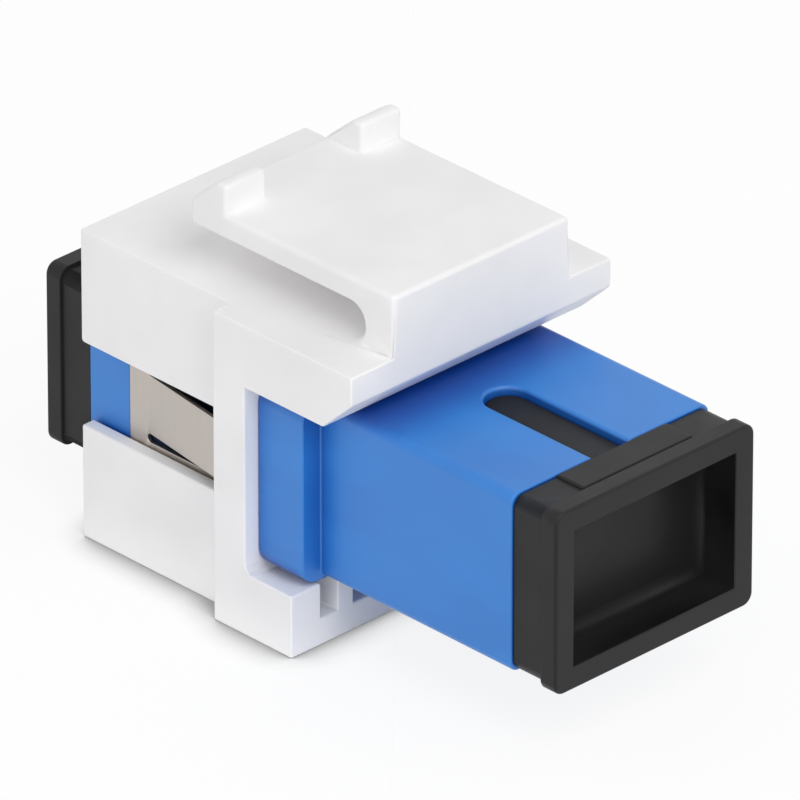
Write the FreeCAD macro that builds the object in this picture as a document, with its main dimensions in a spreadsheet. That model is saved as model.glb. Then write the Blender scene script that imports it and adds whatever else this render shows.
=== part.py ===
import FreeCAD, Part
import os
import re

import Sketcher
from FreeCAD import Placement, Rotation, Vector

# SC simplex fibre adapter in a keystone housing, with its two dust caps.
#
# Millimetres, +Z up. The fibre runs along Y: -Y is the panel side and +Y the rear.
# The origin is on the housing's bottom face, under the middle of the adapter's flange.
# The housing is an open frame that the adapter is pushed into from the rear, until its
# flange meets the rib and the two tongues of its spring clip snap out in front of the rib.

SIZES = [
    # alias, value, meaning
    ("side_wall", 0.75, "housing: wall beside the adapter, in the part that fills the panel opening"),
    ("front_depth", 10.0, "housing: depth of that part, from its front face to the rib"),
    ("rib_step", 1.1, "housing: rib, roof and foot stand out beyond that part, each side"),
    ("rib_depth", 2.1, "housing: thickness of the rib that the flange stops on"),
    ("roof_overhang", 7.1, "housing: roof behind the rib"),
    ("roof_thickness", 3.25, "housing: roof over the flange"),
    ("roof_bevel_run", 1.9, "housing: bevel under the roof's rear edge, along Y"),
    ("roof_lip", 1.45, "housing: roof thickness left at its rear edge"),
    ("foot_overhang", 3.1, "housing: foot behind the rib"),
    ("floor_thickness", 1.4, "housing: floor between the foot's two cheeks"),
    ("cheek_width", 1.9, "housing: each cheek of the foot"),
    ("support_width", 1.0, "housing: each upright between the floor and the flange"),
    ("support_inset", 1.1, "housing: clear gap between a cheek and its upright"),
    ("window_height", 4.4, "housing: side window that the clip's tongue springs into"),
    ("window_round", 0.2, "housing: round on the window's upper front corner"),
    ("aperture_gap", 0.15, "clearance: adapter body to housing aperture"),
    ("flange_gap", 0.1, "clearance: flange to roof and foot"),
    ("latch_width", 11.3, "latch: plate width"),
    ("latch_length", 13.5, "latch: free end to rear face"),
    ("latch_thickness", 1.3, "latch: plate thickness"),
    ("latch_air", 1.9, "latch: open gap between plate and housing top"),
    ("web_thickness", 2.0, "latch: upright web at the rear"),
    ("latch_corner", 0.8, "latch: rounded corners of the free end"),
    ("root_gap", 0.05, "clearance: foot of the web to housing top"),
    ("lug_width", 2.6, "latch: each locking lug, across"),
    ("lug_length", 2.45, "latch: lug, from the free end to its locking face"),
    ("lug_height", 1.5, "latch: lug above the plate"),
    ("lug_crest", 0.7, "latch: flat crest of a lug"),
    ("lug_round", 0.2, "latch: rounds along the crest"),
    ("axis_height", 8.15, "adapter: fibre axis above the bottom face"),
    ("body_width", 12.7, "adapter: body width"),
    ("body_height", 9.3, "adapter: body height"),
    ("body_length", 28.0, "adapter: body length, both halves"),
    ("body_round", 0.5, "adapter: rounds along the body"),
    ("flange_side", 1.15, "adapter: flange beyond the body, each side"),
    ("flange_rise", 0.15, "adapter: flange above and below the body"),
    ("flange_thickness", 3.0, "adapter: flange thickness"),
    ("flange_round", 1.0, "adapter: corner rounds of the flange"),
    ("flange_root", 0.25, "adapter: sloping root behind the flange, each side"),
    ("port_width", 9.05, "adapter: connector port width"),
    ("port_height", 7.45, "adapter: connector port height"),
    ("keyway_width", 2.3, "adapter: key slot width"),
    ("keyway_length", 7.8, "adapter: key slot length from each end"),
    ("pocket_gap", 0.3, "clearance: hook arms to the side pockets that they spring apart into"),
    ("pocket_rise", 0.2, "clearance: hook arms to those pockets, above and below"),
    ("pocket_mouth", 3.4, "adapter: solid port mouth in front of the pockets"),
    ("plate_thickness", 1.2, "insert: mounting plate"),
    ("insert_gap", 0.05, "clearance: insert to adapter body"),
    ("barrel_width", 4.7, "insert: outer diameter of the sleeve barrel"),
    ("barrel_lip", 0.4, "insert: lip that keeps the sleeve in"),
    ("barrel_mouth", 2.8, "insert: hole in the lip"),
    ("hook_inside", 9.2, "insert: clear width between the hook arms"),
    ("hook_thickness", 0.7, "insert: arm thickness"),
    ("hook_height", 3.6, "insert: arm height"),
    ("hook_reach", 0.6, "insert: hook head, inwards from the arm"),
    ("hook_head", 1.4, "insert: hook head, along the arm"),
    ("hook_lead", 0.8, "insert: sloping nose of the head"),
    ("sleeve_outside", 3.2, "sleeve: outer diameter"),
    ("ferrule_bore", 2.5, "sleeve: bore for the two ferrules"),
    ("sleeve_length", 11.4, "sleeve: length"),
    ("sleeve_slit", 0.4, "sleeve: slit along the bottom"),
    ("sleeve_gap", 0.05, "clearance: sleeve to barrel, all round"),
    ("sleeve_play", 0.1, "clearance: each end of the sleeve to the barrel's lip"),
    ("clip_sheet", 0.25, "clip: sheet thickness"),
    ("clip_groove", 0.2, "adapter: depth of the groove that seats the clip"),
    ("clip_gap", 0.03, "clearance: clip to the floor and ends of its groove"),
    ("clip_front", 2.4, "clip: distance behind the housing's front face"),
    ("clip_rear", 0.5, "clip: distance in front of the flange"),
    ("clip_top", 0.35, "clip: top edges below the top of the body"),
    ("tongue_root", 3.8, "clip: start of the tongue behind the housing's front face"),
    ("tongue_height", 3.1, "clip: tongue height"),
    ("tongue_slot", 0.45, "clip: slots above and below the tongue"),
    ("tongue_spring", 0.9, "clip: how far the tongue's free end stands out"),
    ("tongue_gap", 0.05, "clearance: free end of the tongue to the rib"),
    ("collar_inset", 0.1, "cap: collar inside the outline of the body, all round"),
    ("collar_length", 1.9, "cap: collar length"),
    ("rim_side", 0.15, "cap: end rim beyond the collar, each side"),
    ("rim_rise", 0.2, "cap: end rim above and below the collar"),
    ("rim_thickness", 1.0, "cap: end rim thickness"),
    ("rim_round", 0.6, "cap: corner rounds"),
    ("rim_edge", 0.15, "cap: small round on the rim's outer edge"),
    ("rim_wall", 1.2, "cap: wall round the recess"),
    ("ridge_width", 7.1, "cap: ridge on top of the collar"),
    ("ridge_drop", 0.05, "cap: ridge below the top of the rim"),
    ("ridge_groove", 0.1, "cap: groove between ridge and rim"),
    ("recess_depth", 2.5, "cap: recess depth"),
    ("recess_round", 0.6, "cap: round at the recess floor"),
    ("cap_web", 1.2, "cap: wall behind the recess"),
    ("cap_gap", 0.03, "clearance: cap to the end of the body"),
    ("plug_gap", 0.075, "clearance: plug to port, each side"),
    ("plug_length", 8.0, "cap: plug length"),
    ("plug_wall", 0.9, "cap: plug wall"),
    ("slot_gap", 0.4, "clearance: hooks to the plug's side slots, at their end, above and below"),
    ("key_gap", 0.1, "clearance: cap key to key slot, each side"),
    ("key_drop", 0.4, "cap: key below the top of the body"),
]

# Places that several features share, each worked out from the sizes above.
PLACES = {
    "middle": "axis_height",
    "body_top": "axis_height + body_height / 2",
    "body_bottom": "axis_height - body_height / 2",
    "body_end": "body_length / 2",
    "rib_rear": "-flange_thickness / 2",
    "rib_front": "rib_rear - rib_depth",
    "front_face": "rib_front - front_depth",
    "foot_rear": "rib_rear + foot_overhang",
    "flange_width": "body_width + flange_side * 2",
    "flange_height": "body_height + flange_rise * 2",
    "foot_top": "axis_height - flange_height / 2 - flange_gap",
    "roof_rear": "rib_rear + roof_overhang",
    "roof_under": "axis_height + flange_height / 2 + flange_gap",
    "housing_top": "roof_under + roof_thickness",
    "aperture_side": "body_width / 2 + aperture_gap",
    "aperture_rise": "body_height / 2 + aperture_gap",
    "front_width": "(aperture_side + side_wall) * 2",
    "rib_width": "front_width + rib_step * 2",
    "cheek_inside": "rib_width / 2 - cheek_width",
    "support_outside": "cheek_inside - support_inset",
    "plate_under": "housing_top + latch_air",
    "latch_top": "plate_under + latch_thickness",
    "latch_front": "roof_rear - latch_length",
    "web_front": "roof_rear - web_thickness",
    "hinge_y": "roof_rear - web_thickness / 2",
    "hinge_z": "housing_top + root_gap + web_thickness / 2",
    "lug_rear": "latch_front + lug_length",
    "pocket_end": "body_end - pocket_mouth",
    "hook_inner": "hook_inside / 2",
    "hook_outer": "hook_inside / 2 + hook_thickness",
    "hook_end": "pocket_end - insert_gap",
    "pocket_width": "(hook_outer + pocket_gap) * 2",
    "pocket_height": "hook_height + pocket_rise * 2",
    "bore_length": "sleeve_length / 2 + sleeve_play",
    "barrel_length": "bore_length + barrel_lip",
    "clip_start": "front_face + clip_front",
    "clip_end": "rib_rear - clip_rear",
    "clip_inside": "body_width / 2 - clip_groove + clip_gap",
    "clip_outside": "clip_inside + clip_sheet",
    "clip_floor": "body_bottom + clip_groove - clip_gap",
    "clip_head": "body_top - clip_top",
    "tongue_start": "front_face + tongue_root",
    "tongue_end": "rib_front - tongue_gap",
    "cap_seat": "body_end + cap_gap",
    "collar_end": "cap_seat + collar_length",
    "cap_end": "collar_end + rim_thickness",
    "collar_width": "body_width - collar_inset * 2",
    "collar_height": "body_height - collar_inset * 2",
    "rim_width": "collar_width + rim_side * 2",
    "rim_height": "collar_height + rim_rise * 2",
    "recess_width": "rim_width - rim_wall * 2",
    "recess_height": "rim_height - rim_wall * 2",
    "plug_side": "port_width / 2 - plug_gap",
    "plug_rise": "port_height / 2 - plug_gap",
    "plug_end": "cap_seat - plug_length",
    "recess_floor": "cap_end - recess_depth",
    "key_side": "keyway_width / 2 - key_gap",
    "key_round": "body_end - keyway_length + key_gap + key_side",
}

# Cuts that leave the solid run this far past its faces.
PAST = "1"

ALONG_X = Rotation(Vector(0, 1, 0), 90)
ALONG_Y = Rotation(Vector(1, 0, 0), -90)
AGAINST_Y = Rotation(Vector(1, 0, 0), 90)
ALONG_Z = Rotation()

SIDES = {"left": "-1", "right": "1"}
ENDS = {"front": "-1", "rear": "1"}


def formula(text):
    """Turn a formula in size and place names into one that the sheet's cells drive."""
    def reference(match):
        name = match.group(0)
        if name in PLACES:
            return "(" + formula(PLACES[name]) + ")"
        if name in SIZE_NAMES:
            return "Sizes." + name
        return name
    return re.sub(r"[a-z_]+", reference, text)


def span(centre, width):
    """Low and high limits of a width about a centre."""
    return ("%s - (%s) / 2" % (centre, width), "%s + (%s) / 2" % (centre, width))


def mirrored(sign, low, high):
    """Limits on the positive side of a plane, or their mirror image when sign is -1."""
    if sign == "1":
        return (low, high)
    return ("-(%s)" % high, "-(%s)" % low)


def new_body(node):
    body = doc.addObject("PartDesign::Body", node)
    body.Label = node
    return body


def block(body, name, x, y, z, cut=False):
    """A box between two limits on each axis, added to the body or cut from it."""
    kind = "PartDesign::SubtractiveBox" if cut else "PartDesign::AdditiveBox"
    box = body.newObject(kind, name)
    limits = (("Length", "x", x), ("Width", "y", y), ("Height", "z", z))
    for side, axis, (low, high) in limits:
        box.setExpression(side, formula("(%s) - (%s)" % (high, low)))
        box.setExpression("Placement.Base." + axis, formula(low))
    doc.recompute()
    return box


def rod(body, name, radius, length, base, direction, cut=False):
    """A cylinder that starts at base and runs along one axis."""
    kind = "PartDesign::SubtractiveCylinder" if cut else "PartDesign::AdditiveCylinder"
    cylinder = body.newObject(kind, name)
    cylinder.Placement = Placement(Vector(), direction)
    cylinder.setExpression("Radius", formula(radius))
    cylinder.setExpression("Height", formula(length))
    for axis, place in zip("xyz", base):
        cylinder.setExpression("Placement.Base." + axis, formula(place))
    doc.recompute()
    return cylinder


def outline(body, name, plane, corners, offset="0"):
    """A closed outline of straight edges, each corner held by the sheet's sizes."""
    sketch = body.newObject("Sketcher::SketchObject", name)
    origin_plane = [f for f in body.Origin.OriginFeatures if f.Role == plane][0]
    sketch.AttachmentSupport = [(origin_plane, "")]
    sketch.MapMode = "FlatFace"
    sketch.setExpression("AttachmentOffset.Base.z", formula(offset))
    count = len(corners)
    ring = [Vector(1, 0, 0)]
    for _ in range(count - 1):
        ring.append(Rotation(Vector(0, 0, 1), 360.0 / count).multVec(ring[-1]))
    for i in range(count):
        sketch.addGeometry(Part.LineSegment(ring[i], ring[(i + 1) % count]))
    for i in range(count):
        sketch.addConstraint(Sketcher.Constraint("Coincident", i, 2, (i + 1) % count, 1))
    for i, corner in enumerate(corners):
        for kind, place, axis in zip(("DistanceX", "DistanceY"), corner, (-2, -1)):
            if place == "0":
                sketch.addConstraint(Sketcher.Constraint("PointOnObject", i, 1, axis))
                continue
            index = sketch.addConstraint(Sketcher.Constraint(kind, -1, 1, i, 1, 1.0))
            sketch.setExpression("Constraints[%d]" % index, formula(place))
    doc.recompute()
    return sketch


def pad(body, name, sketch, length):
    """Extrude an outline by half the length to each side of its plane."""
    feature = body.newObject("PartDesign::Pad", name)
    feature.Profile = sketch
    feature.SideType = "Symmetric"
    feature.setExpression("Length", formula(length))
    doc.recompute()
    return feature


def round_edges(body, name, radius, wanted):
    """Fillet the edges of the body so far for which wanted(edge, box) holds."""
    base = body.Tip
    box = base.Shape.optimalBoundingBox(False, False)
    names = []
    for i, edge in enumerate(base.Shape.Edges):
        if wanted(edge, box):
            names.append("Edge%d" % (i + 1))
    fillet = body.newObject("PartDesign::Fillet", name)
    fillet.Base = (base, names)
    fillet.setExpression("Radius", formula(radius))
    doc.recompute()
    return fillet


def near(a, b):
    return abs(a - b) < 1e-4


def runs_along(edge, axis):
    """True for a straight edge parallel to the axis."""
    size = edge.BoundBox
    lengths = {"x": size.XLength, "y": size.YLength, "z": size.ZLength}
    across = [lengths[other] for other in "xyz" if other != axis]
    return lengths[axis] > 1e-3 and max(across) < 1e-4


def at_side(edge, box):
    return near(abs(edge.CenterOfMass.x), box.XMax)


def at_corner(edge, box):
    """True for an edge along Y on one of the four outer corners of the box."""
    level = edge.CenterOfMass.z
    top_or_bottom = near(level, box.ZMax) or near(level, box.ZMin)
    return runs_along(edge, "y") and at_side(edge, box) and top_or_bottom


def keystone_housing():
    """Open frame: front part, rib, roof and foot, moulded in one piece with the latch."""
    body = new_body("keystone_housing")
    side = outline(body, "HousingSide", "YZ_Plane", [
        ("rib_front", "0"),
        ("foot_rear", "0"),
        ("foot_rear", "foot_top"),
        ("rib_rear", "foot_top"),
        ("rib_rear", "roof_under"),
        ("roof_rear - roof_bevel_run", "roof_under"),
        ("roof_rear", "housing_top - roof_lip"),
        ("roof_rear", "housing_top"),
        ("rib_front", "housing_top"),
    ])
    pad(body, "HousingFrame", side, "rib_width")
    block(body, "HousingFront", span("0", "front_width"), ("front_face", "rib_rear"),
          ("0", "housing_top"))
    block(body, "HousingAperture", span("0", "aperture_side * 2"),
          ("front_face - " + PAST, "rib_rear + " + PAST),
          span("middle", "aperture_rise * 2"), cut=True)
    window = block(body, "HousingWindow", span("0", "rib_width"),
                   ("front_face - " + PAST, "rib_front"),
                   span("middle", "window_height"), cut=True)
    window_top = window.Placement.Base.z + window.Height.Value

    def window_corner(edge, box):
        centre = edge.CenterOfMass
        return runs_along(edge, "x") and near(centre.y, box.YMin) and near(centre.z, window_top)

    round_edges(body, "HousingWindowRound", "window_round", window_corner)
    block(body, "HousingFootSlot", span("0", "cheek_inside * 2"),
          ("rib_rear", "foot_rear + " + PAST), ("floor_thickness", "foot_top + " + PAST), cut=True)
    for side_name, sign in SIDES.items():
        block(body, "HousingSupport_" + side_name,
              mirrored(sign, "support_outside - support_width", "support_outside"),
              ("rib_rear", "foot_rear"), ("floor_thickness", "foot_top"))
    return body


def release_latch():
    """Sprung finger over the housing's top, with two lugs that lock behind the panel."""
    body = new_body("release_latch")
    side = outline(body, "LatchSide", "YZ_Plane", [
        ("latch_front", "plate_under"),
        ("web_front", "plate_under"),
        ("web_front", "hinge_z"),
        ("roof_rear", "hinge_z"),
        ("roof_rear", "latch_top"),
        ("latch_front", "latch_top"),
    ])
    pad(body, "LatchPlate", side, "latch_width")

    def inner_corner(edge, box):
        centre = edge.CenterOfMass
        on_face = near(centre.y, box.YMin) or near(centre.y, box.YMax)
        on_level = near(centre.z, box.ZMin) or near(centre.z, box.ZMax)
        return runs_along(edge, "x") and not on_face and not on_level

    round_edges(body, "LatchInnerRound", "(plate_under - hinge_z) * 0.9", inner_corner)
    rod(body, "LatchRoot", "web_thickness / 2", "latch_width",
        ("-latch_width / 2", "hinge_y", "hinge_z"), ALONG_X)
    for side_name, sign in SIDES.items():
        lug = outline(body, "LatchLugSide_" + side_name, "YZ_Plane", [
            ("latch_front", "latch_top - latch_thickness / 2"),
            ("lug_rear", "latch_top - latch_thickness / 2"),
            ("lug_rear", "latch_top + lug_height"),
            ("lug_rear - lug_crest", "latch_top + lug_height"),
            ("latch_front", "latch_top"),
        ], offset=sign + " * (latch_width - lug_width) / 2")
        pad(body, "LatchLug_" + side_name, lug, "lug_width")

    def crest(edge, box):
        return runs_along(edge, "x") and near(edge.CenterOfMass.z, box.ZMax)

    def free_corner(edge, box):
        at_front = near(edge.CenterOfMass.y, box.YMin)
        return runs_along(edge, "z") and at_side(edge, box) and at_front

    round_edges(body, "LatchCrestRound", "lug_round", crest)
    round_edges(body, "LatchCornerRound", "latch_corner", free_corner)
    return body


def adapter_shell(end, sign):
    """One moulded half of the adapter body; the rear half carries the flange."""
    body = new_body("adapter_%s_shell" % end)
    is_rear = sign == "1"
    name = "Shell_%s_" % end
    joint = "-flange_thickness / 2"
    reach = (joint, "body_end") if is_rear else ("-(body_end)", joint)
    if is_rear:
        block(body, name + "Flange", span("0", "flange_width"), span("0", "flange_thickness"),
              span("middle", "flange_height"))
        round_edges(body, name + "FlangeRound", "flange_round", at_corner)
    block(body, name + "Tube", span("0", "body_width"), reach, span("middle", "body_height"))

    def tube_edge(edge, box):
        size = edge.BoundBox
        at_end = near(size.YMax, box.YMax) if is_rear else near(size.YMin, box.YMin)
        return runs_along(edge, "y") and at_end

    round_edges(body, name + "TubeRound", "body_round", tube_edge)
    if is_rear:
        for side_name, side_sign in SIDES.items():
            root = outline(body, name + "FlangeRootPlan_" + side_name, "XY_Plane", [
                (side_sign + " * (body_width - flange_root) / 2", "0"),
                (side_sign + " * (body_width / 2 + flange_root)", "0"),
                (side_sign + " * (body_width / 2 + flange_root)", "flange_thickness / 2"),
                (side_sign + " * (body_width / 2)", "flange_thickness / 2 + flange_root"),
                (side_sign + " * (body_width - flange_root) / 2", "flange_thickness / 2 + flange_root"),
            ], offset="middle")
            pad(body, name + "FlangeRoot_" + side_name, root, "body_height - body_round * 2")
    block(body, name + "Port", span("0", "port_width"),
          ("%s - %s" % (reach[0], PAST), "%s + %s" % (reach[1], PAST)),
          span("middle", "port_height"), cut=True)
    pocket = (joint + " - " + PAST, "pocket_end") if is_rear else ("-(pocket_end)", joint + " + " + PAST)
    block(body, name + "Pocket", span("0", "pocket_width"), pocket,
          span("middle", "pocket_height"), cut=True)
    block(body, name + "Keyway", span("0", "keyway_width"),
          mirrored(sign, "body_end - keyway_length + keyway_width / 2", "body_end + " + PAST),
          ("middle", "body_top + " + PAST), cut=True)
    rod(body, name + "KeywayEnd", "keyway_width / 2", "body_height",
        ("0", sign + " * (body_end - keyway_length + keyway_width / 2)", "middle"), ALONG_Z, cut=True)
    if not is_rear:
        groove = ("clip_start - clip_gap", "clip_end + clip_gap")
        inside = "body_width / 2 - clip_groove"
        for side_name, side_sign in SIDES.items():
            block(body, name + "ClipGroove_" + side_name,
                  mirrored(side_sign, inside, "body_width / 2 + " + PAST), groove,
                  ("body_bottom - " + PAST, "clip_head + clip_gap"), cut=True)
        block(body, name + "ClipGroove_under", span("0", "body_width + 2 * " + PAST), groove,
              ("body_bottom - " + PAST, "body_bottom + clip_groove"), cut=True)
    return body


def latch_insert(end, sign):
    """Inner moulding: half of the sleeve barrel and the two hooks that hold a connector."""
    body = new_body("%s_latch_insert" % end)
    name = "Insert_%s_" % end
    plate = mirrored(sign, "0", "plate_thickness")
    block(body, name + "Plate", span("0", "port_width - 2 * insert_gap"), plate,
          span("middle", "port_height - 2 * insert_gap"))
    block(body, name + "Bridge", span("0", "hook_outer * 2"), plate, span("middle", "hook_height"))
    for side_name, side_sign in SIDES.items():
        block(body, name + "Arm_" + side_name, mirrored(side_sign, "hook_inner", "hook_outer"),
              mirrored(sign, "0", "hook_end"), span("middle", "hook_height"))
        head = outline(body, name + "HeadPlan_" + side_name, "XY_Plane", [
            (side_sign + " * (hook_inner + hook_thickness / 2)", sign + " * (hook_end - hook_head)"),
            (side_sign + " * (hook_inner - hook_reach)", sign + " * (hook_end - hook_head)"),
            (side_sign + " * (hook_inner - hook_reach)", sign + " * (hook_end - hook_lead)"),
            (side_sign + " * (hook_inner + hook_thickness / 2)", sign + " * (hook_end)"),
        ], offset="middle")
        pad(body, name + "Head_" + side_name, head, "hook_height")
    turn = ALONG_Y if sign == "1" else AGAINST_Y
    rod(body, name + "Barrel", "barrel_width / 2", "barrel_length", ("0", "0", "middle"), turn)
    rod(body, name + "Bore", "sleeve_outside / 2 + sleeve_gap", "bore_length",
        ("0", "0", "middle"), turn, cut=True)
    rod(body, name + "Mouth", "barrel_mouth / 2", "barrel_length", ("0", "0", "middle"), turn, cut=True)
    return body


def alignment_sleeve():
    """Split ceramic sleeve that lines up the two ferrules."""
    body = new_body("alignment_sleeve")
    start = ("0", "-sleeve_length / 2", "middle")
    rod(body, "SleeveOutside", "sleeve_outside / 2", "sleeve_length", start, ALONG_Y)
    rod(body, "SleeveBore", "ferrule_bore / 2", "sleeve_length", start, ALONG_Y, cut=True)
    block(body, "SleeveSlit", span("0", "sleeve_slit"), span("0", "sleeve_length + 2 * " + PAST),
          ("middle - sleeve_outside", "middle"), cut=True)
    return body


def spring_clip():
    """Sheet steel U round the sides and bottom of the body, with a sprung tongue each side."""
    body = new_body("spring_clip")
    length = ("clip_start", "clip_end")
    block(body, "ClipOutside", span("0", "clip_outside * 2"), length,
          ("clip_floor - clip_sheet", "clip_head"))

    def bend(edge, box):
        return runs_along(edge, "y") and at_side(edge, box) and near(edge.CenterOfMass.z, box.ZMin)

    round_edges(body, "ClipBend", "clip_sheet", bend)
    block(body, "ClipInside", span("0", "clip_inside * 2"),
          ("clip_start - " + PAST, "clip_end + " + PAST), ("clip_floor", "clip_head + " + PAST), cut=True)
    tongue = span("middle", "tongue_height")
    opening = span("middle", "tongue_height + 2 * tongue_slot")
    across = "clip_outside * 2 + 2 * " + PAST
    block(body, "ClipOpening", span("0", across), ("tongue_start", "tongue_end + tongue_slot"),
          opening, cut=True)
    for level, place in (("under", "middle - (tongue_height + tongue_slot) / 2"),
                         ("over", "middle + (tongue_height + tongue_slot) / 2")):
        rod(body, "ClipSlotEnd_" + level, "tongue_slot / 2", across,
            ("-(%s) / 2" % across, "tongue_start", place), ALONG_X, cut=True)
    for side_name, sign in SIDES.items():
        plan = outline(body, "ClipTonguePlan_" + side_name, "XY_Plane", [
            (sign + " * clip_inside", "tongue_start - clip_sheet"),
            (sign + " * clip_outside", "tongue_start - clip_sheet"),
            (sign + " * clip_outside", "tongue_start"),
            (sign + " * (clip_outside + tongue_spring)", "tongue_end"),
            (sign + " * (clip_inside + tongue_spring)", "tongue_end"),
            (sign + " * clip_inside", "tongue_start"),
        ], offset="middle")
        pad(body, "ClipTongue_" + side_name, plan, "tongue_height")
    return body


def dust_cap(end, sign):
    """Soft cap: a rim and collar outside the port, and a slotted hollow plug inside it."""
    body = new_body("%s_dust_cap" % end)
    name = "Cap_%s_" % end
    block(body, name + "Collar", span("0", "collar_width"), mirrored(sign, "cap_seat", "collar_end"),
          span("middle", "collar_height"))
    round_edges(body, name + "CollarCorners", "rim_round", at_corner)
    block(body, name + "Rim", span("0", "rim_width"), mirrored(sign, "collar_end", "cap_end"),
          span("middle", "rim_height"))
    round_edges(body, name + "RimCorners", "rim_round", at_corner)

    def outer_edge(edge, box):
        level = box.YMax if sign == "1" else box.YMin
        return near(edge.BoundBox.YMin, level) and near(edge.BoundBox.YMax, level)

    round_edges(body, name + "RimEdge", "rim_edge", outer_edge)
    block(body, name + "Ridge", span("0", "ridge_width"),
          mirrored(sign, "cap_seat", "collar_end - ridge_groove"),
          ("middle", "middle + rim_height / 2 - ridge_drop"))
    block(body, name + "Plug", span("0", "plug_side * 2"), mirrored(sign, "plug_end", "cap_seat"),
          span("middle", "plug_rise * 2"))
    recess = block(body, name + "Recess", span("0", "recess_width"),
                   mirrored(sign, "recess_floor", "cap_end + " + PAST),
                   span("middle", "recess_height"), cut=True)
    floor = recess.Placement.Base.y
    if sign == "-1":
        floor += recess.Width.Value

    def recess_edge(edge, box):
        return near(edge.BoundBox.YMin, floor) and near(edge.BoundBox.YMax, floor)

    round_edges(body, name + "RecessRound", "recess_round", recess_edge)
    block(body, name + "PlugPocket", span("0", "(plug_side - plug_wall) * 2"),
          mirrored(sign, "plug_end - " + PAST, "recess_floor - cap_web"),
          span("middle", "(plug_rise - plug_wall) * 2"), cut=True)
    block(body, name + "PlugSlots", span("0", "port_width"),
          mirrored(sign, "plug_end - " + PAST, "hook_end + slot_gap"),
          span("middle", "hook_height + slot_gap * 2"), cut=True)
    key = ("middle + plug_rise - plug_wall", "body_top - key_drop")
    block(body, name + "Key", span("0", "key_side * 2"), mirrored(sign, "key_round", "cap_seat"), key)
    rod(body, name + "KeyEnd", "key_side", "(%s) - (%s)" % (key[1], key[0]),
        ("0", sign + " * (key_round)", key[0]), ALONG_Z)
    return body


doc = FreeCAD.newDocument("sc_keystone_adapter")
SIZE_NAMES = [alias for alias, value, meaning in SIZES]
sheet = doc.addObject("Spreadsheet::Sheet", "Sizes")
for row, (alias, value, meaning) in enumerate(SIZES, start=1):
    sheet.set("A%d" % row, alias)
    sheet.set("B%d" % row, str(value))
    sheet.set("C%d" % row, meaning)
    sheet.setAlias("B%d" % row, alias)
doc.recompute()

pieces = [keystone_housing(), release_latch(), alignment_sleeve(), spring_clip()]
for end_name, end_sign in ENDS.items():
    pieces.append(adapter_shell(end_name, end_sign))
    pieces.append(latch_insert(end_name, end_sign))
    pieces.append(dust_cap(end_name, end_sign))

doc.recompute()
for item in doc.Objects:
    if "Invalid" in item.State or "Error" in item.State:
        raise RuntimeError("%s did not build: %s" % (item.Label, item.State))
os.makedirs("parts", exist_ok=True)
for piece in pieces:
    shape = piece.Shape
    if shape.isNull() or not shape.isValid() or len(shape.Solids) != 1:
        raise RuntimeError("%s is not one valid solid" % piece.Label)
for piece in pieces:
    piece.Shape.exportStep("parts/%s.step" % piece.Label)
    box = piece.Shape.BoundBox
    print("%-22s %9.3f mm3  x %.2f..%.2f  y %.2f..%.2f  z %.2f..%.2f" % (
        piece.Label, piece.Shape.Volume, box.XMin, box.XMax, box.YMin, box.YMax, box.ZMin, box.ZMax))
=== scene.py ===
import math

import bmesh
import bpy
from mathutils import Matrix, Vector


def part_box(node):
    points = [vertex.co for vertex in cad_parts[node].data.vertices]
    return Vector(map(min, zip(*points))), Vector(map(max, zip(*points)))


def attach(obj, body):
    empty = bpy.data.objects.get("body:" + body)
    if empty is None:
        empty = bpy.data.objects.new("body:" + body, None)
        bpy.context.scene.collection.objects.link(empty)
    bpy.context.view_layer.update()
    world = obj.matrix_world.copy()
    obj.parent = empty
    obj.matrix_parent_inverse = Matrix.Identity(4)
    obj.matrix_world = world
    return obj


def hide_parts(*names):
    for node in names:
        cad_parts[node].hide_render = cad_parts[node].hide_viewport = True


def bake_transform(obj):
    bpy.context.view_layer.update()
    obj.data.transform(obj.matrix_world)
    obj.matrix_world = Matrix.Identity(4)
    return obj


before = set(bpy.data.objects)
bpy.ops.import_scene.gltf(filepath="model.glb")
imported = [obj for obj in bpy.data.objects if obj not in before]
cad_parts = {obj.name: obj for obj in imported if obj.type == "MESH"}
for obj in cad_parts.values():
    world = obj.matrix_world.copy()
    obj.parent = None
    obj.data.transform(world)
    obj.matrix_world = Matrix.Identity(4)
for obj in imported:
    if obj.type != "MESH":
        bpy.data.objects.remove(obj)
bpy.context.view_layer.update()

# ---------------------------------------------------------------------------------------------
# Keystone housing and release latch: one injection moulding in white ABS. The frame takes the
# adapter from behind, and the latch is a springy finger that stands on a thin web at the rear
# of the roof. Its two lugs lock behind the panel.

MM = 0.001


def merged_copy(node):
    """The CAD node's shape with its loose triangles joined and its flat faces whole."""
    shape = bmesh.new()
    shape.from_mesh(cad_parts[node].data)
    bmesh.ops.remove_doubles(shape, verts=shape.verts, dist=0.002 * MM)
    bmesh.ops.dissolve_limit(shape, angle_limit=math.radians(0.5), verts=shape.verts, edges=shape.edges)
    return shape


def crosses(edge, **levels):
    """True where both ends of an edge lie at the given places, in mm: x=5.65 or x=(3, 6)."""
    for vert in edge.verts:
        for axis, level in levels.items():
            low, high = level if isinstance(level, tuple) else (level, level)
            place = getattr(vert.co, axis) / MM
            if place < low - 0.01 or place > high + 0.01:
                return False
    return True


def cut(shape, face, axis, place):
    """Draw a line across one flat face, square to an axis."""
    normal = Vector([1.0 if name == axis else 0.0 for name in "xyz"])
    geometry = [face] + list(face.edges) + list(face.verts)
    bmesh.ops.bisect_plane(shape, geom=geometry, dist=0.0005 * MM, plane_co=normal * place * MM,
                           plane_no=normal)
    shape.faces.ensure_lookup_table()


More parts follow.
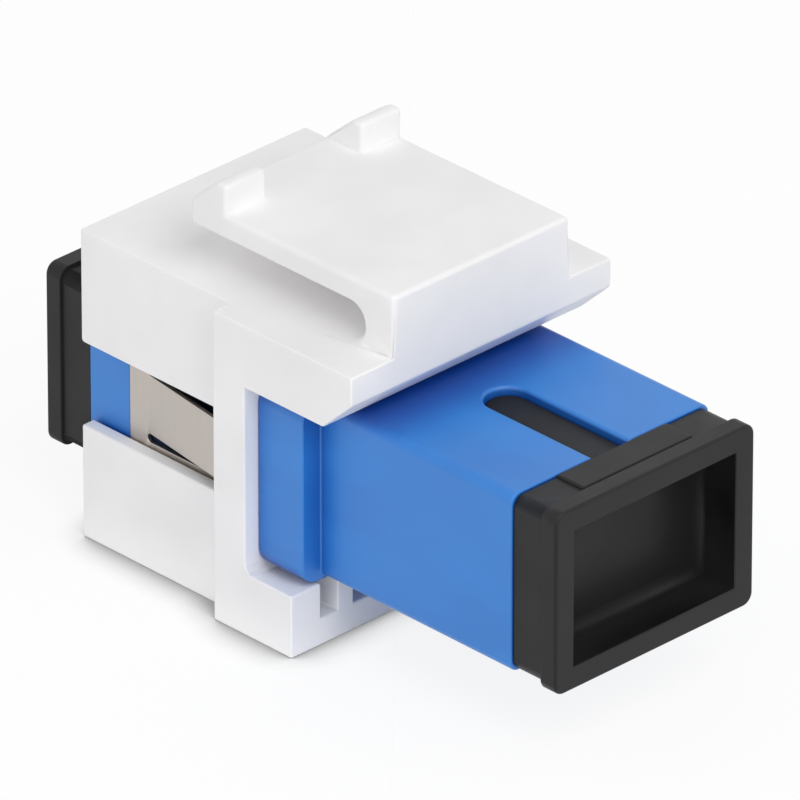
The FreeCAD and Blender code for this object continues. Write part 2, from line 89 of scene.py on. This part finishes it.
def flat_face(shape, axis, level, inside):
    """The face square to an axis, at a level, that holds a point given by its other two places."""
    index = "xyz".index(axis)
    others = [i for i in range(3) if i != index]
    for face in shape.faces:
        if abs(abs(face.normal[index]) - 1) > 0.001:
            continue
        if abs(face.calc_center_median()[index] / MM - level) > 0.01:
            continue
        point = Vector((0, 0, 0))
        point[index] = level * MM
        point[others[0]] = inside[0] * MM
        point[others[1]] = inside[1] * MM
        if bmesh.geometry.intersect_face_point(face, point):
            return face
    raise RuntimeError("no face square to %s at %s" % (axis, level))


def raise_face(shape, face, move):
    """Extrude one face and carry its new end by a move in mm. Gives back the end face."""
    end = bmesh.ops.extrude_discrete_faces(shape, faces=[face])["faces"][0]
    bmesh.ops.translate(shape, verts=end.verts, vec=Vector(move) * MM)
    return end


def round_off(shape, edges, radius, segments):
    """Round edges, or fill inner corners, with a radius in mm."""
    bmesh.ops.bevel(shape, geom=edges, affect="EDGES", offset=radius * MM, offset_type="OFFSET",
                    segments=segments, profile=0.5, material=-1, clamp_overlap=False)


def split_ends(shape):
    """Split the faces square to Y that run round a port, because rounding them would close it."""
    ends = [face for face in shape.faces if abs(face.normal.y) > 0.99]
    bmesh.ops.connect_verts_concave(shape, faces=ends)


def hard_edges(shape, angle=36):
    """Edges between two faces that meet at more than an angle in degrees."""
    return [edge for edge in shape.edges
            if len(edge.link_faces) == 2 and edge.calc_face_angle() > math.radians(angle)]


def to_piece(shape, name):
    """Turn the finished shape into an object whose broad faces shade flat up to their rounds."""
    bmesh.ops.connect_verts_concave(shape, faces=shape.faces)
    bmesh.ops.recalc_face_normals(shape, faces=shape.faces)
    mesh = bpy.data.meshes.new(name)
    shape.to_mesh(mesh)
    shape.free()
    mesh.shade_smooth()
    piece = bpy.data.objects.new(name, mesh)
    bpy.context.scene.collection.objects.link(piece)
    weighted = piece.modifiers.new("even_shading", "WEIGHTED_NORMAL")
    weighted.weight = 100
    weighted.keep_sharp = True
    return piece


def linear(hex_code):
    """An sRGB hex colour as the linear RGBA that the shader takes."""
    def channel(value):
        return value / 12.92 if value <= 0.04045 else ((value + 0.055) / 1.055) ** 2.4
    parts = [int(hex_code[i:i + 2], 16) / 255 for i in (1, 3, 5)]
    return tuple(channel(part) for part in parts) + (1.0,)


def add_node(tree, kind, settings=None, values=None, links=None):
    """Add a node, set its properties and sockets, and link its inputs."""
    node = tree.nodes.new(kind)
    for key, value in (settings or {}).items():
        setattr(node, key, value)
    for key, value in (values or {}).items():
        node.inputs[key].default_value = value
    for key, source in (links or {}).items():
        tree.links.new(source, node.inputs[key])
    return node


def new_material(name):
    material = bpy.data.materials.new(name)
    material.use_nodes = True
    material.node_tree.nodes.clear()
    return material, material.node_tree


def own_place(tree, centre, turn=(0.0, 0.0, 0.0), scale=(1.0, 1.0, 1.0)):
    """Object coordinates, centred on the piece so that a pattern starts in its middle."""
    coordinates = add_node(tree, "ShaderNodeTexCoord")
    mapping = add_node(tree, "ShaderNodeMapping", {"vector_type": "TEXTURE"},
                       {"Location": centre, "Rotation": turn, "Scale": scale},
                       {"Vector": coordinates.outputs["Object"]})
    return mapping.outputs["Vector"]


def ramp(tree, source, stops):
    """A colour ramp with straight steps between its stops."""
    node = add_node(tree, "ShaderNodeValToRGB", links={"Fac": source})
    node.color_ramp.interpolation = "LINEAR"
    while len(node.color_ramp.elements) < len(stops):
        node.color_ramp.elements.new(0.5)
    for element, (place, colour) in zip(node.color_ramp.elements, stops):
        element.position = place
        element.color = colour
    return node.outputs["Color"]


def grey(value):
    return (value, value, value, 1.0)


housing_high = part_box("keystone_housing")[1]
latch_low, latch_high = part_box("release_latch")
roof_top = housing_high.z / MM
roof_rear = housing_high.y / MM
latch_side = latch_high.x / MM
latch_front = latch_low.y / MM
lug_top = latch_high.z / MM
lug_height, lug_length, lug_width, lug_crest = 1.5, 2.45, 2.6, 0.7
plate_top = lug_top - lug_height
plate_under = plate_top - 1.3
web_front = roof_rear - 2.0
flap = latch_side - lug_width
gap_round, gap_root_round, cheek_round = 0.95, 0.85, 0.45
finger_round, frame_round = 0.26, 0.10

moulding = merged_copy("keystone_housing")
for side in (-latch_side, latch_side):
    cut(moulding, flat_face(moulding, "z", roof_top, (0.0, 0.0)), "x", side)
cut(moulding, flat_face(moulding, "z", roof_top, (0.0, 0.0)), "y", web_front)
footprint = flat_face(moulding, "z", roof_top, (0.0, roof_rear - 1.0))
web = raise_face(moulding, footprint, (0, 0, plate_under - roof_top))
head = raise_face(moulding, web, (0, 0, plate_top - plate_under))
face = flat_face(moulding, "y", web_front, (0.0, (plate_under + plate_top) / 2))
raise_face(moulding, face, (0, latch_front - web_front, 0))
cut(moulding, flat_face(moulding, "z", plate_top, (0.0, latch_front + 3)), "y", latch_front + lug_length)
for side in (-1, 1):
    cut(moulding, flat_face(moulding, "z", plate_top, (0.0, latch_front + 1)), "x", side * flap)
for side in (-1, 1):
    seat = flat_face(moulding, "z", plate_top, (side * (flap + 1.0), latch_front + 1))
    crest = raise_face(moulding, seat, (0, 0, lug_height))
    front = [vert for vert in crest.verts if vert.co.y < (latch_front + 1) * MM]
    bmesh.ops.translate(moulding, verts=front, vec=Vector((0, lug_length - lug_crest, 0)) * MM)

# The gap under the latch ends in a full round.
round_off(moulding, [e for e in moulding.edges if crosses(e, y=web_front, z=plate_under)],
          gap_round, 8)
round_off(moulding, [e for e in moulding.edges
                     if crosses(e, x=(-latch_side, latch_side), y=web_front, z=roof_top)],
          gap_root_round, 8)

# Each cheek of the foot meets the rib in a soft inner corner.
rib_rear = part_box("adapter_rear_shell")[0].y / MM
cheek_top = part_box("adapter_rear_shell")[0].z / MM - 0.1
split_ends(moulding)
round_off(moulding, [e for e in moulding.edges if crosses(e, y=rib_rear, z=cheek_top)],
          cheek_round, 5)

bmesh.ops.dissolve_limit(moulding, angle_limit=math.radians(0.5), verts=moulding.verts,
                         edges=moulding.edges)
# The finger's edges are softer than those of the frame below, where other parts fit.
round_off(moulding, [e for e in hard_edges(moulding) if e.is_convex and crosses(e, z=(roof_top, lug_top))
                     and not crosses(e, z=roof_top)], finger_round, 4)
split_ends(moulding)
round_off(moulding, [e for e in hard_edges(moulding)
                     if not (e.is_convex and crosses(e, z=(roof_top + 0.3, lug_top)))],
          frame_round, 2)
keystone = to_piece(moulding, "keystone_moulding")
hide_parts("keystone_housing", "release_latch")

# White ABS from a finely spark-eroded tool: a clean, slightly warm white with a soft sheen. The
# 0.08 mm grit of the tool is drawn at 0.2 mm, because it is too fine to show. Long clouds 4 mm
# across are the faint flow marks, and light that sinks in keeps the edges from looking hard.
# Within 4 mm of the next wall the white is lighter, to imitate light thrown between the walls.
white_abs, tree = new_material("moulded_white_abs")
place = own_place(tree, (0.0, -4.0 * MM, 9.0 * MM))
clouds = add_node(tree, "ShaderNodeTexNoise", values={"Scale": 1 / (4.0 * MM), "Detail": 2.0},
                  links={"Vector": place})
grit = add_node(tree, "ShaderNodeTexNoise",
                values={"Scale": 1 / (0.2 * MM), "Detail": 3.0, "Roughness": 0.6},
                links={"Vector": place})
bump = add_node(tree, "ShaderNodeBump", values={"Strength": 0.10, "Distance": 0.01 * MM},
                links={"Height": grit.outputs["Fac"]})
walls = add_node(tree, "ShaderNodeAmbientOcclusion", {"samples": 8}, {"Distance": 4.0 * MM})
open_white = ramp(tree, clouds.outputs["Fac"], [(0.3, linear("#E8E7E8")), (0.7, linear("#EEEDEE"))])
white = add_node(tree, "ShaderNodeMix", {"data_type": "RGBA"}, {6: linear("#FEFDFD")},
                 {0: ramp(tree, walls.outputs["AO"], [(0.35, grey(0.0)), (0.85, grey(1.0))]), 7: open_white})
surface = add_node(
    tree, "ShaderNodeBsdfPrincipled",
    values={"IOR": 1.54, "Subsurface Weight": 0.12, "Subsurface Radius": (1.0, 0.95, 0.9),
            "Subsurface Scale": 0.5 * MM},
    links={"Base Color": white.outputs[2],
           "Roughness": ramp(tree, clouds.outputs["Fac"], [(0.3, grey(0.42)), (0.7, grey(0.50))]),
           "Normal": bump.outputs["Normal"]})
add_node(tree, "ShaderNodeOutputMaterial", links={"Surface": surface.outputs["BSDF"]})
keystone.data.materials.append(white_abs)
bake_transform(keystone)


# ---------------------------------------------------------------------------------------------
# Adapter body: two halves moulded in blue PBT and welded together behind the rib. The rear half
# carries the flange, and each half has the open key slot that a connector's key runs in.

body_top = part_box("adapter_front_shell")[1].z / MM
body_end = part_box("adapter_rear_shell")[1].y / MM
middle = (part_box("adapter_front_shell")[0].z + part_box("adapter_front_shell")[1].z) / 2 / MM
body_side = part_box("adapter_front_shell")[1].x / MM
groove_floor = body_side - 0.2
flange_rear, flange_root = 1.5, 0.26
lip_round, shell_round = 0.2, 0.09
slot_half = 1.15


def shell_piece(node, name):
    """A body half with its moulded rounds. The lip of the key slot is rounded more, and the CAD's
    fillet at the flange's root is made flat first."""
    shape = merged_copy(node)
    for vert in shape.verts:
        outside = (abs(vert.co.x) / MM > body_side - 0.01
                   or abs(vert.co.z / MM - middle) > body_top - middle - 0.01)
        if outside and flange_rear < vert.co.y / MM < flange_rear + flange_root:
            vert.co.y = flange_rear * MM
    bmesh.ops.dissolve_degenerate(shape, dist=0.002 * MM, edges=shape.edges)
    bmesh.ops.dissolve_limit(shape, angle_limit=math.radians(0.5), verts=shape.verts, edges=shape.edges)
    split_ends(shape)
    lip = [e for e in hard_edges(shape) if crosses(e, x=(-slot_half, slot_half), z=body_top)
           and not crosses(e, y=-body_end) and not crosses(e, y=body_end)]
    round_off(shape, lip, lip_round, 3)
    round_off(shape, hard_edges(shape), shell_round, 2)
    # The groove floor, seen only through the clip's slots, takes the second material: painted shade, nearly
    # black.
    for face in shape.faces:
        if abs(abs(face.calc_center_median().x) / MM - groove_floor) < 0.01 and abs(face.normal.x) > 0.99:
            face.material_index = 1
    piece = to_piece(shape, name)
    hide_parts(node)
    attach(piece, "holder")
    return piece


front_body = shell_piece("adapter_front_shell", "adapter_front_body")
rear_body = shell_piece("adapter_rear_shell", "adapter_rear_body")

# Blue PBT, smooth from the tool: a clear mid blue with a soft gloss. The pigment lies in faint
# streaks about 3 mm apart along the flow, and the skin has a fine ripple of 0.5 mm. Within 3 mm of
# the housing the blue goes down to navy, to imitate the deep shade there.
blue_pbt, tree = new_material("moulded_blue_pbt")
place = own_place(tree, (0.0, 0.0, 8.15 * MM), scale=(1.0, 2.5, 1.0))
streaks = add_node(tree, "ShaderNodeTexNoise", values={"Scale": 1 / (3.0 * MM), "Detail": 2.0},
                   links={"Vector": place})
skin = add_node(tree, "ShaderNodeTexNoise", values={"Scale": 1 / (0.5 * MM), "Detail": 2.0},
                links={"Vector": place})
bump = add_node(tree, "ShaderNodeBump", values={"Strength": 0.12, "Distance": 0.01 * MM},
                links={"Height": skin.outputs["Fac"]})
near = add_node(tree, "ShaderNodeAmbientOcclusion", {"samples": 8}, {"Distance": 3.0 * MM})
shade = ramp(tree, near.outputs["AO"], [(0.30, grey(0.0)), (0.85, grey(1.0))])
blue = ramp(tree, streaks.outputs["Fac"], [(0.3, linear("#2477CA")), (0.7, linear("#2B80D2"))])
tone = add_node(tree, "ShaderNodeMix", {"data_type": "RGBA"}, {6: linear("#114AA2")}, {0: shade, 7: blue})
surface = add_node(
    tree, "ShaderNodeBsdfPrincipled",
    values={"IOR": 1.55, "Subsurface Weight": 0.06, "Subsurface Radius": (0.4, 0.7, 1.0),
            "Subsurface Scale": 0.3 * MM},
    links={"Base Color": tone.outputs[2],
           "Roughness": ramp(tree, streaks.outputs["Fac"], [(0.3, grey(0.34)), (0.7, grey(0.42))]),
           "Normal": bump.outputs["Normal"]})
add_node(tree, "ShaderNodeOutputMaterial", links={"Surface": surface.outputs["BSDF"]})
for piece in (front_body, rear_body):
    piece.data.materials.append(blue_pbt)

# The floor of the clip's groove, seen only through the clip's slots: the same PBT, painted nearly
# black and dull as painted shade for the deep gap behind the tongue, with the blue showing through in
# patches 0.6 mm long.
groove_shade_pbt, tree = new_material("painted_shade_groove_pbt")
place = own_place(tree, (0.0, -6.6 * MM, 8.15 * MM), scale=(1.0, 3.0, 1.0))
shade_patches = add_node(tree, "ShaderNodeTexNoise", values={"Scale": 1 / (0.6 * MM), "Detail": 3.0},
                  links={"Vector": place})
bump = add_node(tree, "ShaderNodeBump", values={"Strength": 0.2, "Distance": 0.01 * MM},
                links={"Height": shade_patches.outputs["Fac"]})
surface = add_node(
    tree, "ShaderNodeBsdfPrincipled", values={"IOR": 1.45, "Specular IOR Level": 0.25},
    links={"Base Color": ramp(tree, shade_patches.outputs["Fac"],
                              [(0.45, linear("#0C1016")), (0.8, linear("#162D54"))]),
           "Roughness": ramp(tree, shade_patches.outputs["Fac"], [(0.3, grey(0.60)), (0.7, grey(0.75))]),
           "Normal": bump.outputs["Normal"]})
add_node(tree, "ShaderNodeOutputMaterial", links={"Surface": surface.outputs["BSDF"]})
front_body.data.materials.append(groove_shade_pbt)


# ---------------------------------------------------------------------------------------------
# Latch inserts: two natural PBT mouldings back to back inside the body. Each holds half of the
# sleeve's barrel and the two springy hooks that catch a connector.


def insert_piece(node, name):
    shape = merged_copy(node)
    split_ends(shape)
    round_off(shape, hard_edges(shape, 50), 0.05, 2)
    piece = to_piece(shape, name)
    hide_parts(node)
    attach(piece, "holder")
    return piece


inserts = [insert_piece("front_latch_insert", "front_hook_insert"),
           insert_piece("rear_latch_insert", "rear_hook_insert")]

# Natural PBT: a milky, faintly yellow white with a waxy sheen and slow changes of tone.
natural_pbt, tree = new_material("moulded_natural_pbt")
place = own_place(tree, (0.0, 0.0, 8.15 * MM))
clouds = add_node(tree, "ShaderNodeTexNoise", values={"Scale": 1 / (2.0 * MM), "Detail": 2.0},
                  links={"Vector": place})
bump = add_node(tree, "ShaderNodeBump", values={"Strength": 0.1, "Distance": 0.01 * MM},
                links={"Height": clouds.outputs["Fac"]})
surface = add_node(
    tree, "ShaderNodeBsdfPrincipled",
    values={"IOR": 1.55, "Subsurface Weight": 0.2, "Subsurface Radius": (1.0, 0.9, 0.7),
            "Subsurface Scale": 0.6 * MM},
    links={"Base Color": ramp(tree, clouds.outputs["Fac"],
                              [(0.3, linear("#DEDACB")), (0.7, linear("#E9E6DA"))]),
           "Roughness": ramp(tree, clouds.outputs["Fac"], [(0.3, grey(0.40)), (0.7, grey(0.50))]),
           "Normal": bump.outputs["Normal"]})
add_node(tree, "ShaderNodeOutputMaterial", links={"Surface": surface.outputs["BSDF"]})
for piece in inserts:
    piece.data.materials.append(natural_pbt)


# ---------------------------------------------------------------------------------------------
# Alignment sleeve: a split tube of zirconia that floats in the barrel and lines up the two
# ferrules. Ground and polished, with its ends slightly rounded.

shape = merged_copy("alignment_sleeve")
round_off(shape, hard_edges(shape, 50), 0.06, 2)
sleeve = to_piece(shape, "zirconia_sleeve")
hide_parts("alignment_sleeve")
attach(sleeve, "holder")

# Polished zirconia: a cool, dense white like porcelain, glossy, with grinding lines round the
# tube that are 0.1 mm apart.
zirconia, tree = new_material("polished_zirconia")
place = own_place(tree, (0.0, 0.0, 8.15 * MM))
lines = add_node(tree, "ShaderNodeTexWave", {"wave_type": "BANDS", "bands_direction": "Y"},
                 {"Scale": 1 / (0.63 * MM), "Distortion": 1.0, "Detail": 2.0}, {"Vector": place})
bump = add_node(tree, "ShaderNodeBump", values={"Strength": 0.05, "Distance": 0.005 * MM},
                links={"Height": lines.outputs["Fac"]})
surface = add_node(
    tree, "ShaderNodeBsdfPrincipled",
    values={"IOR": 2.1, "Subsurface Weight": 0.1, "Subsurface Radius": (1.0, 1.0, 1.0),
            "Subsurface Scale": 0.3 * MM},
    links={"Base Color": ramp(tree, lines.outputs["Fac"],
                              [(0.0, linear("#E6E7E6")), (1.0, linear("#EFF0EF"))]),
           "Roughness": ramp(tree, lines.outputs["Fac"], [(0.0, grey(0.14)), (1.0, grey(0.2))]),
           "Normal": bump.outputs["Normal"]})
add_node(tree, "ShaderNodeOutputMaterial", links={"Surface": surface.outputs["BSDF"]})
sleeve.data.materials.append(zirconia)


# ---------------------------------------------------------------------------------------------
# Spring clip: a U stamped from 0.25 mm stainless strip and folded round the body. The tongue of
# each side springs out through the housing's window and stops on the rib.

shape = merged_copy("spring_clip")
round_off(shape, hard_edges(shape, 50), 0.035, 2)
clip = to_piece(shape, "stamped_spring_clip")
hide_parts("spring_clip")
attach(clip, "holder")

# Cold-rolled stainless strip: a warm, pale grey that mirrors the room softly. The rolling lines
# run along the strip, 0.15 mm apart and a few mm long, and change its gloss only faintly.
stainless, tree = new_material("rolled_stainless_strip")
place = own_place(tree, (0.0, -6.0 * MM, 8.15 * MM), scale=(1.0, 1.0, 30.0))
rolled = add_node(tree, "ShaderNodeTexNoise",
                  values={"Scale": 1 / (0.15 * MM), "Detail": 3.0, "Roughness": 0.65},
                  links={"Vector": place})
bump = add_node(tree, "ShaderNodeBump", values={"Strength": 0.06, "Distance": 0.003 * MM},
                links={"Height": rolled.outputs["Fac"]})
surface = add_node(
    tree, "ShaderNodeBsdfPrincipled", values={"Metallic": 1.0},
    links={"Base Color": ramp(tree, rolled.outputs["Fac"],
                              [(0.3, linear("#BCB5AF")), (0.7, linear("#C3BCB5"))]),
           "Roughness": ramp(tree, rolled.outputs["Fac"], [(0.3, grey(0.30)), (0.7, grey(0.42))]),
           "Normal": bump.outputs["Normal"]})
add_node(tree, "ShaderNodeOutputMaterial", links={"Surface": surface.outputs["BSDF"]})
clip.data.materials.append(stainless)


# ---------------------------------------------------------------------------------------------
# Dust caps: one-piece soft black polyethylene plugs. A rim and a collar stay outside the port,
# and a ridge on top of the collar runs into the key that fills the adapter's key slot.

ridge_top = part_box("rear_dust_cap")[1].z / MM - 0.05


def cap_piece(node, name, body):
    """A cap whose outer edges are slightly rounded; the soft plastic leaves its inner corners tight."""
    shape = merged_copy(node)
    round_off(shape, [e for e in hard_edges(shape) if e.is_convex and crosses(e, z=ridge_top)], 0.13, 3)
    round_off(shape, [e for e in hard_edges(shape) if e.is_convex], 0.07, 2)
    piece = to_piece(shape, name)
    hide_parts(node)
    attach(piece, body)
    return piece


caps = [cap_piece("front_dust_cap", "front_soft_cap", "front_cap"),
        cap_piece("rear_dust_cap", "rear_soft_cap", "rear_cap")]

# Black LDPE: nearly black with a broad, waxy grey sheen. The tool's grain is 0.1 mm and drawn
# at 0.25 mm so that it shows, and handling leaves cloudy patches about 3 mm across. The
# plastic is made duller in the recess, to keep it dark there.
black_ldpe, tree = new_material("moulded_black_ldpe")
place = own_place(tree, (0.0, 0.0, 8.15 * MM))
patches = add_node(tree, "ShaderNodeTexNoise", values={"Scale": 1 / (3.0 * MM), "Detail": 2.0},
                   links={"Vector": place})
grain = add_node(tree, "ShaderNodeTexNoise",
                 values={"Scale": 1 / (0.25 * MM), "Detail": 3.0, "Roughness": 0.6},
                 links={"Vector": place})
bump = add_node(tree, "ShaderNodeBump", values={"Strength": 0.25, "Distance": 0.012 * MM},
                links={"Height": grain.outputs["Fac"]})
depth = add_node(tree, "ShaderNodeAmbientOcclusion", {"samples": 8}, {"Distance": 3.0 * MM})
sheen = add_node(tree, "ShaderNodeMix", {"data_type": "FLOAT"}, {2: 0.95},
                 {0: ramp(tree, depth.outputs["AO"], [(0.60, grey(0.0)), (0.85, grey(1.0))]),
                  3: ramp(tree, patches.outputs["Fac"], [(0.3, grey(0.42)), (0.7, grey(0.52))])})
surface = add_node(
    tree, "ShaderNodeBsdfPrincipled", values={"IOR": 1.51, "Specular IOR Level": 0.34},
    links={"Base Color": ramp(tree, patches.outputs["Fac"],
                              [(0.3, linear("#0C0C0D")), (0.7, linear("#111112"))]),
           "Roughness": sheen.outputs[0],
           "Normal": bump.outputs["Normal"]})
add_node(tree, "ShaderNodeOutputMaterial", links={"Surface": surface.outputs["BSDF"]})
for piece in caps:
    piece.data.materials.append(black_ldpe)


# ---------------------------------------------------------------------------------------------
# Studio: the adapter lies on a plain white table under soft daylight from a large window above
# and two paler ones, at the side and behind the rear port. The table shows a thin shadow of the
# object, and a darker painted shadow within 2.5 mm of where the two touch.


def seen_directly(tree):
    """1 for a ray from the camera, off a gloss or through a clear piece, and 0 for any other."""
    rays = add_node(tree, "ShaderNodeLightPath")
    seen = add_node(tree, "ShaderNodeMath", {"operation": "MAXIMUM"},
                    links={0: rays.outputs["Is Camera Ray"], 1: rays.outputs["Is Glossy Ray"]})
    return add_node(tree, "ShaderNodeMath", {"operation": "MAXIMUM"},
                    links={0: seen.outputs[0], 1: rays.outputs["Is Transmission Ray"]})


shape = bmesh.new()
bmesh.ops.create_grid(shape, x_segments=1, y_segments=1, size=3.0)
bmesh.ops.translate(shape, verts=shape.verts, vec=(0, 0, -0.01 * MM))
mesh = bpy.data.meshes.new("table")
shape.to_mesh(mesh)
shape.free()
table = bpy.data.objects.new("table", mesh)
bpy.context.scene.collection.objects.link(table)
paper, tree = new_material("white_table")
seen = seen_directly(tree)
share = add_node(tree, "ShaderNodeMath", {"operation": "MULTIPLY"}, {1: 0.87}, {0: seen.outputs[0]})
matt = add_node(tree, "ShaderNodeBsdfDiffuse", values={"Color": linear("#FCFCFC")})
# Painted contact shadow: the white that is seen directly grows darker within 2.5 mm of the object.
touch = add_node(tree, "ShaderNodeAmbientOcclusion", {"samples": 16}, {"Distance": 2.5 * MM})
painted_contact_shadow = ramp(tree, touch.outputs["AO"], [(0.45, grey(0.25)), (0.70, grey(0.80)), (0.92, grey(1.0))])
glow = add_node(tree, "ShaderNodeEmission", values={"Strength": 1.0}, links={"Color": painted_contact_shadow})
mixed = add_node(tree, "ShaderNodeMixShader",
                 links={0: share.outputs[0], 1: matt.outputs[0], 2: glow.outputs[0]})
add_node(tree, "ShaderNodeOutputMaterial", links={"Surface": mixed.outputs[0]})
table.data.materials.append(paper)

world = bpy.data.worlds.new("daylight")
bpy.context.scene.world = world
world.use_nodes = True
tree = world.node_tree
tree.nodes.clear()
seen = seen_directly(tree)
dim = add_node(tree, "ShaderNodeBackground", values={"Color": (1.0, 1.0, 1.0, 1.0), "Strength": 0.66})
white = add_node(tree, "ShaderNodeBackground", values={"Color": (1.0, 1.0, 1.0, 1.0), "Strength": 1.0})
mixed = add_node(tree, "ShaderNodeMixShader",
                 links={0: seen.outputs[0], 1: dim.outputs[0], 2: white.outputs[0]})
add_node(tree, "ShaderNodeOutputWorld", links={"Surface": mixed.outputs[0]})


def direction(azimuth, elevation):
    """The way to a light or the camera: azimuth 0 looks along +Y, from the panel side."""
    a, e = math.radians(azimuth), math.radians(elevation)
    return Vector((math.sin(a) * math.cos(e), -math.cos(a) * math.cos(e), math.sin(e)))


def area_light(name, azimuth, elevation, distance, size, power):
    lamp = bpy.data.lights.new(name, "AREA")
    lamp.shape = "SQUARE"
    lamp.size = size
    lamp.energy = power
    light = bpy.data.objects.new(name, lamp)
    bpy.context.scene.collection.objects.link(light)
    way = direction(azimuth, elevation)
    light.location = way * distance + Vector((0, 0, 0.01))
    light.rotation_euler = way.to_track_quat("Z", "Y").to_euler()


area_light("window_above", 168, 50, 0.40, 0.30, 0.66)
area_light("window_right", 95, 14, 0.40, 0.30, 0.22)
area_light("window_rear", 178, 8, 0.40, 0.30, 0.07)

# The camera looks down on the rear port from the right, through a long lens.
camera_data = bpy.data.cameras.new("camera")
camera_data.sensor_width = 36.0
distance, field = 0.8, 37.0 * MM
camera_data.lens = 36.0 * distance / field
camera_data.clip_start = 0.01
camera_data.clip_end = 10.0
camera = bpy.data.objects.new("camera", camera_data)
bpy.context.scene.collection.objects.link(camera)
way = direction(135.8, 28.8)
aim = Vector((0.0, 0.2, 9.9)) * MM
camera.location = aim + way * distance
camera.rotation_euler = way.to_track_quat("Z", "Y").to_euler()
bpy.context.scene.camera = camera

bpy.context.scene.view_settings.view_transform = "Standard"
